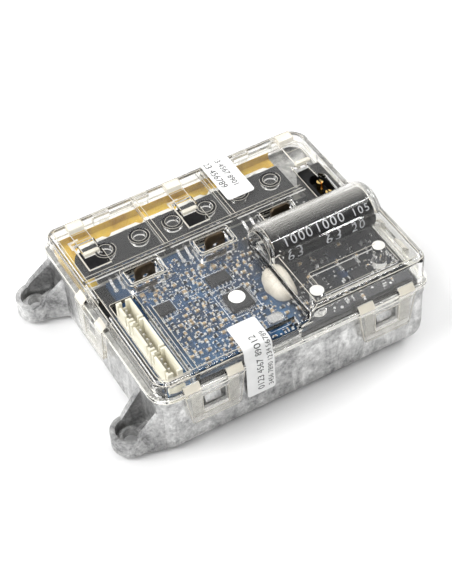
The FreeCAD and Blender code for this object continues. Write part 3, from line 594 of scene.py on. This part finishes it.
# the part of the shoulder hidden by the raised roof stays inside it
per_low = []
for pts, closed in per:
    run = []
    for p in pts + pts[:1]:
        if p[0] > 4.2 and p[1] < 3.4:
            if len(run) > 1:
                per_low.append((run, False))
            run = []
        else:
            if not run and per_low is not None and p[1] < CY0 + 2 and p[0] < 0:
                pass
            run.append(p)
    if len(run) > 1:
        per_low.append((run, False))
per_low.append(([(CX0 + 5.3, CY0 + 1.7, T), (-8.2, CY0 + 1.7, T)], False))
per_low.append(([(CX0 + 5.0, CY0 + 0.3, 27.3), (-8.2, CY0 + 0.3, 27.3)], False))
per_low.append(([(2.2, CY0 + 0.3, 27.3), (4.4, CY0 + 0.2, 27.9)], False))
wires("cover_shoulder_highlight_lines", per_low, 0.13, "edge", COVER)
fl = [(rrect(-43.25, 43.95, -34.75, 37.35, 22.55, (6, 4, 6.6, 3.4)), True), (rrect(-43.1, 43.8, -34.6, 37.2, 21.3, (6, 4, 6.6, 3.4)), True)]
wires("cover_flange_highlight_lines", fl, 0.16, "edge_bright", COVER)

# raised roof: painted highlight lines on the shoulders, the left shoulder and the shallow frame, and painted highlight
# discs on its two closed posts
hi = []
hi.append(([(7.9, CY0 + 1.7, HIGH_Z + 0.01), (CX1 - 3.2, CY0 + 1.7, HIGH_Z + 0.01), (CX1 - 1.9, CY0 + 2.3, HIGH_Z + 0.01), (CX1 - 1.7, CY0 + 3.4, HIGH_Z + 0.01), (CX1 - 1.7, -10.6, HIGH_Z + 0.01)], False))
hi.append(([(7.2, CY0 + 0.35, HIGH_Z - 0.75), (CX1 - 3.4, CY0 + 0.35, HIGH_Z - 0.75), (CX1 - 1.2, CY0 + 1.2, HIGH_Z - 0.75), (CX1 - 0.4, CY0 + 3.2, HIGH_Z - 0.75), (CX1 - 0.4, -12.2, HIGH_Z - 0.75)], False))
hi.append(([(7.7, CY0 + 1.8, HIGH_Z + 0.01), (7.7, -12.4, HIGH_Z + 0.01)], False))
hi.append(([(4.72, CY0 + 1.6, 28.6), (4.72, -12.0, 28.6)], False))
hi.append(([(3.6, CY0 + 0.25, 27.0), (4.5, CY0 + 0.12, 28.4), (4.75, CY0 + 0.1, 29.8), (5.5, CY0 + 0.2, 31.2), (6.6, CY0 + 0.5, 31.9), (7.8, CY0 + 1.2, 32.2)], False))
wires("cover_raised_highlight_lines", hi, 0.13, "edge", COVER)
fr = [([(11.6, -22.1, HIGH_Z + 0.01), (33.0, -22.2, HIGH_Z + 0.01)], False), ([(11.4, -30.9, HIGH_Z + 0.01), (35.2, -31.0, HIGH_Z + 0.01)], False),
      ([(11.4, -22.2, HIGH_Z + 0.01), (11.4, -27.2, HIGH_Z + 0.01)], False), ([(35.1, -24.6, HIGH_Z + 0.01), (35.1, -30.8, HIGH_Z + 0.01)], False)]
wires("cover_roof_frame_highlight_lines", fr, 0.09, "edge", COVER)
discs("cover_post_end_highlights", [(10.1, -28.7, HIGH_Z - 0.02, HIGH_Z + 0.02, 2.0), (33.5, -23.2, HIGH_Z - 0.02, HIGH_Z + 0.02, 1.85)], "edge_bright", COVER, 28)

# press tubes seen through the roof: a dark outer bead of painted shade and a lighter inner one of painted highlight
Q = [(-30.5 + 10.85 * i, 20.0) for i in range(6)]
discs("tube_shadow_rings", [(x, y, LOW_Z + 0.004, LOW_Z + 0.03, 3.0, 2.35) for x, y in Q], "ring_painted_shade", COVER, 40)
lines = []
for x, y in Q:
    lines.append((arc(x, y, 3.12, 150, 390, T, 26), False))
    lines.append((arc(x, y, 2.2, 0, 345, T, 26), True))
wires("tube_edge_highlight_lines", lines, 0.07, "edge", COVER)

# dome: painted highlight lines along its foot and end circles
DY, DZ = -4.9, 28.3
dm = []
dm.append(([(6.6, DY + 8.12, 28.4), (CX1 - 2.6, DY + 8.12, 28.4)], False))


def dome_arc(x, r, a0, a1, n=22):
    return [(x, DY - r * math.cos(math.radians(a0 + (a1 - a0) * k / n)), DZ + r * math.sin(math.radians(a0 + (a1 - a0) * k / n))) for k in range(n + 1)]


dm.append((dome_arc(7.4, 8.08, 46, 178), False))
dm.append((dome_arc(6.05, 6.6, 10, 176), False))
dm.append((dome_arc(39.7, 8.08, 46, 178), False))
dm.append((dome_arc(42.6, 6.2, 36, 176), False))
wires("dome_highlight_lines", dm, 0.10, "edge", COVER)
# painted reflection over the dome, growing from the near flank to the far side of its crown
def crown_reflection_material():
    m, nt, b = new_mat("dome_painted_reflection")
    v = coords(nt)
    sep = nt.nodes.new("ShaderNodeSeparateXYZ")
    nt.links.new(v, sep.inputs[0])
    mr = nt.nodes.new("ShaderNodeMapRange")
    mr.interpolation_type = "SMOOTHSTEP"
    mr.inputs["From Min"].default_value = -0.0092
    mr.inputs["From Max"].default_value = -0.0030
    mr.inputs["To Min"].default_value = 0.0
    mr.inputs["To Max"].default_value = 0.30
    nt.links.new(sep.outputs["Y"], mr.inputs[0])
    nt.links.new(mr.outputs[0], b.inputs["Alpha"])
    nt.links.new(ramp(nt, noise(nt, v, 180, 3), [(0.3, srgb(206, 204, 198)), (0.7, srgb(226, 223, 216))]), b.inputs["Base Color"])
    rough_from(nt, b, noise(nt, v, 500, 2), 0.22, 0.34)
    return m


MAT["crown_reflection"] = crown_reflection_material()
# painted reflection: a half-transparent pale band over the dome crown
vv, ff = [], []
for i in range(29):
    a = math.radians(60 + 2.5 * i)
    for x in (8.0, 40.0):
        vv.append((x * MM, (DY - 8.2 * math.cos(a)) * MM, (DZ + 8.195 * math.sin(a)) * MM))
for i in range(28):
    ff.append((2 * i, 2 * i + 1, 2 * i + 3, 2 * i + 2))
vm = bpy.data.meshes.new("dome_crown_painted_reflection")
vm.from_pydata(vv, [], ff)
vm.update()
smooth(vm, 40)
link("dome_crown_painted_reflection", vm, "crown_reflection", COVER)

# finger hooks: cream cores of the tips and roots as painted reflection, painted highlight lines on the strap edges
cores, straps = [], []
for x in (-34.2, -2.4, 35.6):
    cores.append((x - 2.38, x + 2.38, 20.7, 22.0, 27.6, 28.74))
    cores.append((x - 2.38, x + 2.38, 30.5, 33.5, 27.6, 30.04))
    for d in (-2.4, 2.4):
        straps.append(([(x + d, 22.0, 28.82), (x + d, 30.4, 28.82)], False))
        straps.append(([(x + d, 30.5, 30.06), (x + d, 33.5, 30.06)], False))
    straps.append(([(x - 2.4, 29.4, 28.82), (x + 2.4, 29.4, 28.82)], False))
    straps.append(([(x - 2.4, 26.4, 28.82), (x + 2.4, 26.4, 28.82)], False))
boxes("hook_core_reflections", cores, "painted_light_layer", COVER, 0.15)
wires("hook_strap_highlight_lines", straps, 0.12, "edge", COVER)
# small moulded steps beside two hooks, and their windows, in the cream painted-reflection material
boxes("hook_side_steps", [(-38.6, -37.9, 24.6, 27.6, 28.0, 28.3), (-38.6, -35.4, 27.2, 28.0, 28.0, 28.3), (-6.9, -6.3, 24.2, 27.0, 28.0, 28.3), (-6.9, -3.4, 26.6, 27.2, 28.0, 28.3)], "painted_light_layer", COVER, 0.06)
boxes("hook_borders", [(-38.05, -37.6, 15.0, 24.6, 28.0, 28.28), (-37.6, -30.9, 14.75, 15.2, 28.0, 28.28), (-6.2, -5.75, 15.0, 24.0, 28.0, 28.28), (-5.8, 0.9, 14.75, 15.2, 28.0, 28.28)], "painted_light_layer", COVER, 0.06)

# latch frames: cream caps on the leg tops as painted highlight, hazy cores in the legs and feet as painted reflection,
# painted highlight lines on their edges
caps, legs, lipl = [], [], []
for xc, side in ((-26.2, -1), (28.6, -1), (-17.5, 1), (29.4, 1)):
    wall, face = (34.2, 34.0) if side < 0 else (37.0, 36.6)
    far = side * (wall + 1.7)
    yi = side * (face + 0.37)
    for s in (-1, 1):
        xa, xb = xc + s * 6.55 - 2.45, xc + s * 6.55 + 2.45
        caps.append([(xa, yi, 25.16), (xb, yi, 25.16), (xb, far - side * 0.02, 23.42), (xa, far - side * 0.02, 23.42)][::-side])
        x0, x1 = sorted((xc + s * 4.1, xc + s * 7.3))
        ya, yb = sorted((side * (wall + 0.4), side * (wall + 1.62)))
        legs.append((x0, x1, ya, yb, 13.0, 22.4))
        lipl.append(([(xc + s * 4.02, far, 13.5), (xc + s * 4.02, far, 20.3)], False))
        lipl.append(([(xc + s * 7.4, far, 11.3), (xc + s * 9.05, far, 22.6)], False))
        lipl.append(([(xa, far, 23.4), (xb, far, 23.4)], False))
    legs.append((xc - 6.9, xc + 6.9, ya, yb, 11.0, 13.2))
    lipl.append(([(xc - 4.0, far, 13.42), (xc + 4.0, far, 13.42)], False))
    lipl.append(([(xc - 6.8, far, 10.95), (xc + 6.8, far, 10.95)], False))
    lipl.append(([(xc - 4.0, far, 20.4), (xc + 4.0, far, 20.4)], False))
for yc, side in ((4.6, -1), (-14.0, 1), (16.0, 1)):
    wall, face = (42.6, 42.0) if side < 0 else (43.7, 43.1)
    far = side * (wall + 1.7)
    xi = side * (face + 0.37)
    for s in (-1, 1):
        ya, yb = yc + s * 6.1 - 2.15, yc + s * 6.1 + 2.15
        caps.append([(xi, ya, 25.16), (xi, yb, 25.16), (far - side * 0.02, yb, 23.42), (far - side * 0.02, ya, 23.42)][::side])
        y0, y1 = sorted((yc + s * 3.7, yc + s * 6.7))
        xa2, xb2 = sorted((side * (wall + 0.4), side * (wall + 1.62)))
        legs.append((xa2, xb2, y0, y1, 13.2, 22.4))
        lipl.append(([(far, yc + s * 3.62, 13.1), (far, yc + s * 3.62, 20.3)], False))
        lipl.append(([(far, yc + s * 6.9, 11.1), (far, yc + s * 8.55, 22.6)], False))
    legs.append((xa2, xb2, yc - 6.2, yc + 6.2, 10.8, 12.8))
    lipl.append(([(far, yc - 6.2, 10.75), (far, yc + 6.2, 10.75)], False))
plates("latch_leg_cap_highlights", caps, 0.06, "painted_light_layer", COVER)
boxes("latch_frame_core_reflections", legs, "haze", COVER, 0.15)
inner = []
for pts, closed in lipl:
    inner.append(([(min(max(x, -44.18), 45.28), min(max(y, -35.78), 38.58), z) for x, y, z in pts], closed))
wires("latch_edge_highlight_lines", inner, 0.11, "edge", COVER)

# ------------------------------------------------------------------ capacitor print: numbers only
CY_, CZ_, CR_ = -4.9, 28.3, 6.5


def on_sleeve(x0, th0):
    def fn(tx, ty):
        th = math.radians(th0) + ty / CR_
        r = CR_ + 0.015
        return (x0 + tx, CY_ - r * math.cos(th), CZ_ + r * math.sin(th))
    return fn


cuts = [k * 0.35 for k in range(-2, 14)]
jobs = []
for x0, th0, txt, h in ((21.4, 38, "1000", 2.9), (10.9, 37, "1000", 2.9), (23.4, -4, "63", 3.5), (10.9, -4, "63", 3.5), (33.4, 38, "105", 2.4), (32.0, -2, "20", 2.9)):
    jobs.append((digits_mesh(txt, h, cuts_y=cuts, spacing=1.25), on_sleeve(x0, th0)))
mapped_digits("capacitor_print", jobs, "print_grey", BASE)

# ------------------------------------------------------------------ seals: blank folded labels with numbers
def seal_path(side, y_in, foot):
    face, flange = (34.0, 34.8) if side < 0 else (36.6, 37.4)
    pts = [(y_in, LOW_Z, 0.0, 1.0)]
    for k in range(7):
        a = math.radians(90 - 15 * k)
        pts.append((face - 1.8 + 1.8 * math.cos(a), LOW_Z - 1.8 + 1.8 * math.sin(a), math.cos(a), math.sin(a)))
    pts += [(face, 24.2, 0.98, 0.2), (flange, 22.9, 0.9, 0.3), (flange, foot, 1.0, 0.0)]
    acc, out = 0.0, []
    for i, p in enumerate(pts):
        if i:
            acc += math.hypot(p[0] - pts[i - 1][0], p[1] - pts[i - 1][1])
        out.append((acc,) + p)
    return out


def on_path(path, side, u, d):
    u = max(0.0, min(path[-1][0], u))
    for a, b2 in zip(path, path[1:]):
        if u <= b2[0] + 1e-9:
            t = (u - a[0]) / max(1e-9, b2[0] - a[0])
            y, z, ny, nz = [a[k] + (b2[k] - a[k]) * t for k in (1, 2, 3, 4)]
            break
    l = math.hypot(ny, nz)
    return side * (y + d * ny / l), z + d * nz / l


def label(name, node, x0, x1, side, y_in, foot):
    path = seal_path(side, y_in, foot)
    L = path[-1][0]
    us = sorted(set([p[0] for p in path] + [0.05, 0.15, 0.35, 0.6, 1.0, L - 1.0, L - 0.6, L - 0.35, L - 0.15, L - 0.05] + [k * 0.7 for k in range(1, int(L / 0.7))]))
    bm = bmesh.new()
    rows = []
    for u in us:
        e = min(u, L - u)
        ins = 0.0 if e >= 1.0 else 1.0 - math.sqrt(max(0.0, 1.0 - (1.0 - e) ** 2))
        row = []
        for d in (0.05, 0.16):
            y, z = on_path(path, side, u, d)
            row.append([bm.verts.new(((x0 + ins + (x1 - x0 - 2 * ins) * k / 6.0) * MM, y * MM, z * MM)) for k in range(7)])
        rows.append(row)
    for a, b2 in zip(rows, rows[1:]):
        for k in range(6):
            bm.faces.new((a[1][k], a[1][k + 1], b2[1][k + 1], b2[1][k]))
            bm.faces.new((a[0][k + 1], a[0][k], b2[0][k], b2[0][k + 1]))
        bm.faces.new((a[0][0], a[1][0], b2[1][0], b2[0][0]))
        bm.faces.new((a[1][6], a[0][6], b2[0][6], b2[1][6]))
    for row, flip in ((rows[0], 1), (rows[-1], -1)):
        for k in range(6):
            bm.faces.new((row[0][k], row[0][k + 1], row[1][k + 1], row[1][k])[::flip])
    bmesh.ops.recalc_face_normals(bm, faces=bm.faces)
    me = bpy.data.meshes.new(name)
    bm.to_mesh(me)
    bm.free()
    smooth(me, 50)
    ob = link(name, me, "seal", COVER)
    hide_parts(node)
    return path, L


near_path, near_L = label("seal_near_folded", "seal_label_near", -16.2, -7.4, -1, 24.4, 9.6)
far_path, far_L = label("seal_far_folded", "seal_label_far", 9.0, 18.0, 1, 18.6, 9.6)


jobs = []
for path, side, u0, xs in ((near_path, -1, near_L - 1.4, ((-10.9, 2.1, "0123 4567 89012"), (-8.0, 1.6, "3456 7890 1234 56789"))), (far_path, 1, 20.5, ((10.0, 2.1, "0123 456789"), (13.6, 1.8, "0123 4567 8901")))):
    for xb, h, txt in xs:
        def fn(tx, ty, path=path, side=side, u0=u0, xb=xb):
            y, z = on_path(path, side, u0 - tx, 0.18)
            return (xb + side * ty, y, z)
        jobs.append((digits_mesh(txt, h, cuts_x=[u0 - p[0] for p in path], spacing=1.0), fn))
mapped_digits("seal_numbers", jobs, "print_black", COVER)

# ------------------------------------------------------------------ board detail
PZ = 21.5
rnd = random.Random(11)
taken = []
for n in ("microcontroller_leads", "driver_ic_leads", "crystal", "shunt_resistors", "chip_resistors", "chip_capacitors", "silicone_bead", "microcontroller", "driver_ic_bodies"):
    taken += [b2[:4] for b2 in islands(n)]
for x in (-25.0, -2.6, 19.0):
    taken.append((x - 3.4, x + 3.4, 5.4, 7.0))
for x, y in Q:
    taken.append((x - 3.2, x + 3.2, 8.4, 13.6))
taken.append((-38.4, -31.0, -31.5, 0.5))


def free(x0, x1, y0, y1, m=0.15):
    return all(x1 + m < a or x0 - m > b2 or y1 + m < c or y0 - m > d for a, b2, c, d in taken)


tan, blk, ends, pads, vias, sots = [], [], [], [], [], []
for k in range(1500):
    if rnd.random() < 0.8:
        x, y = rnd.uniform(-28.6, 4.0), rnd.uniform(-28.6, 12.6)
    else:
        x, y = rnd.uniform(4.0, 39.6), rnd.uniform(-28.4, 12.6)
    lx, ly, h = rnd.choice(((1.0, 0.5, 0.45), (1.0, 0.5, 0.45), (1.6, 0.8, 0.55), (1.6, 0.8, 0.8), (2.0, 1.25, 0.9), (0.6, 0.3, 0.3)))
    turn = rnd.random() < 0.5
    if turn:
        lx, ly = ly, lx
    b2 = (x - lx / 2, x + lx / 2, y - ly / 2, y + ly / 2)
    if not free(*b2, m=0.28):
        continue
    if len(tan) + len(blk) > 300:
        break
    taken.append(b2)
    (tan if rnd.random() < 0.45 else blk).append((b2[0] + 0.02, b2[1] - 0.02, b2[2] + 0.02, b2[3] - 0.02, PZ, PZ + h))
    t = 0.24 * (lx if not turn else ly)
    if turn:
        ends.append((b2[0], b2[1], b2[2], b2[2] + t, PZ, PZ + h + 0.02))
        ends.append((b2[0], b2[1], b2[3] - t, b2[3], PZ, PZ + h + 0.02))
        for yy in (b2[2] - 0.16, b2[3] + 0.16):
            pads.append((x - lx * 0.55, x + lx * 0.55, yy - 0.17, yy + 0.17, PZ, PZ + 0.08))
    else:
        ends.append((b2[0], b2[0] + t, b2[2], b2[3], PZ, PZ + h + 0.02))
        ends.append((b2[1] - t, b2[1], b2[2], b2[3], PZ, PZ + h + 0.02))
        for xx in (b2[0] - 0.16, b2[1] + 0.16):
            pads.append((xx - 0.17, xx + 0.17, y - ly * 0.55, y + ly * 0.55, PZ, PZ + 0.08))
for node in ("chip_resistors", "chip_capacitors"):
    for x0, x1, y0, y1, z0, z1 in islands(node):
        if x1 - x0 > y1 - y0:
            ends += [(x0 - 0.01, x0 + 0.35, y0 - 0.01, y1 + 0.01, PZ, z1 + 0.01), (x1 - 0.35, x1 + 0.01, y0 - 0.01, y1 + 0.01, PZ, z1 + 0.01)]
        else:
            ends += [(x0 - 0.01, x1 + 0.01, y0 - 0.01, y0 + 0.35, PZ, z1 + 0.01), (x0 - 0.01, x1 + 0.01, y1 - 0.35, y1 + 0.01, PZ, z1 + 0.01)]
for x0, x1, y0, y1, z0, z1 in islands("shunt_resistors"):
    ends += [(x0 - 0.01, x0 + 0.9, y0 - 0.01, y1 + 0.01, PZ, z1 + 0.01), (x1 - 0.9, x1 + 0.01, y0 - 0.01, y1 + 0.01, PZ, z1 + 0.01)]
boxes("ceramic_chips", tan, "mlcc", BASE, 0.06)
boxes("resistor_chips", blk, "resist", BASE, 0.05)
boxes("chip_end_caps", ends, "chip_end", BASE, 0.04)
boxes("solder_pads", pads, "solder", BASE, 0.03)
dots = []
for k in range(900):
    x, y = (rnd.uniform(-29.0, 4.5), rnd.uniform(-28.9, 13.0)) if rnd.random() < 0.82 else (rnd.uniform(4.0, 40.0), rnd.uniform(-28.9, 13.0))
    r = rnd.choice((0.16, 0.2, 0.24, 0.3, 0.42, 0.5))
    if free(x - r, x + r, y - r, y + r, 0.08):
        taken.append((x - r, x + r, y - r, y + r))
        dots.append((x, y, PZ, PZ + 0.05 + r * 0.25, r))
    if len(dots) > 330:
        break
discs("test_points", dots, "solder", BASE, 10)
tr = []
for k in range(150):
    x, y = rnd.uniform(-28, 3), rnd.uniform(-28, 12)
    L = rnd.uniform(1.5, 6.0)
    if rnd.random() < 0.5:
        tr.append((x, min(x + L, 4.0), y, y + 0.16, PZ, PZ + 0.025))
    else:
        tr.append((x, x + 0.16, y, min(y + L, 13.0), PZ, PZ + 0.025))
boxes("board_traces", tr, "trace", BASE)
sk = []
for x0, x1, y0, y1 in ((-10.9, -0.7, -17.7, -7.5), (-28.4, -21.6, -7.8, -1.4), (-10.6, -2.6, -5.6, 0.9), (-4.0, 2.0, -27.0, -22.6), (-29.0, -21.4, 4.6, 8.0)):
    for a in ((x0, x1, y0, y0 + 0.14), (x0, x1, y1 - 0.14, y1), (x0, x0 + 0.14, y0, y1), (x1 - 0.14, x1, y0, y1)):
        sk.append(a + (PZ, PZ + 0.02))
for k in range(60):
    x, y = rnd.uniform(-28, 3), rnd.uniform(-28, 12)
    w, h = rnd.choice(((1.2, 0.12), (0.12, 1.2), (0.9, 0.12), (0.12, 0.9)))
    sk.append((x, x + w, y, y + h, PZ, PZ + 0.02))
boxes("board_marking_lines", sk, "silk", BASE)
# solder fillets where the transistor legs and the phase tabs meet the board
fil = []
for x, y in Q:
    for d in (-2.54, 0, 2.54):
        fil.append((x + d, 9.2, PZ, PZ + 0.45, 0.75))
discs("leg_solder", fil, "solder", BASE, 16)
pw = []
for x in (-25.0, -2.6, 19.0):
    pw.append((x - 3.3, x + 3.3, 5.3, 7.1, PZ, PZ + 0.25))
boxes("tab_solder", pw, "solder", BASE, 0.2)


# ------------------------------------------------------------------ stage
def stage():
    me = bpy.data.meshes.new("floor")
    s = 3.0
    me.from_pydata([(-s, -s, -0.0002), (s, -s, -0.0002), (s, s, -0.0002), (-s, s, -0.0002)], [], [(0, 1, 2, 3)])
    ob = bpy.data.objects.new("floor", me)
    bpy.context.scene.collection.objects.link(ob)
    m, nt, b = new_mat("white_floor")
    b.inputs["Base Color"].default_value = (0.90, 0.90, 0.90, 1)
    b.inputs["Roughness"].default_value = 0.6
    b.inputs["Specular IOR Level"].default_value = 0.2
    me.materials.append(m)


def area(name, loc, target, size, power, size_y=None):
    d = bpy.data.lights.new(name, "AREA")
    d.energy = power
    d.size = size
    if size_y:
        d.shape = "RECTANGLE"
        d.size_y = size_y
    ob = bpy.data.objects.new(name, d)
    ob.location = loc
    ob.rotation_euler = (Vector(target) - Vector(loc)).to_track_quat("-Z", "Y").to_euler()
    bpy.context.scene.collection.objects.link(ob)


stage()
w = bpy.data.worlds.new("studio")
bpy.context.scene.world = w
w.use_nodes = True
nt = w.node_tree
bg = nt.nodes["Background"]
tc = nt.nodes.new("ShaderNodeTexCoord")
sep = nt.nodes.new("ShaderNodeSeparateXYZ")
nt.links.new(tc.outputs["Generated"], sep.inputs[0])
mr = nt.nodes.new("ShaderNodeMapRange")
mr.inputs["From Min"].default_value = -0.75
mr.inputs["From Max"].default_value = 0.75
mr.inputs["To Min"].default_value = 0.16
mr.inputs["To Max"].default_value = 0.95
nt.links.new(sep.outputs["Y"], mr.inputs[0])
nt.links.new(mr.outputs[0], bg.inputs[1])
bg.inputs[0].default_value = (1, 1, 1, 1)
area("key_left", (-0.75, 0.15, 0.85), (0, 0, 0.01), 0.6, 9.0)
area("key_right", (0.95, 0.25, 0.5), (0, 0, 0.01), 0.5, 5.0)
area("front_low", (-0.75, -0.75, 0.45), (0, 0, 0.01), 0.5, 3.0)
area("strip_top", (0.38, -0.24, 0.90), (0, 0, 0.03), 1.0, 2.2, 0.03)
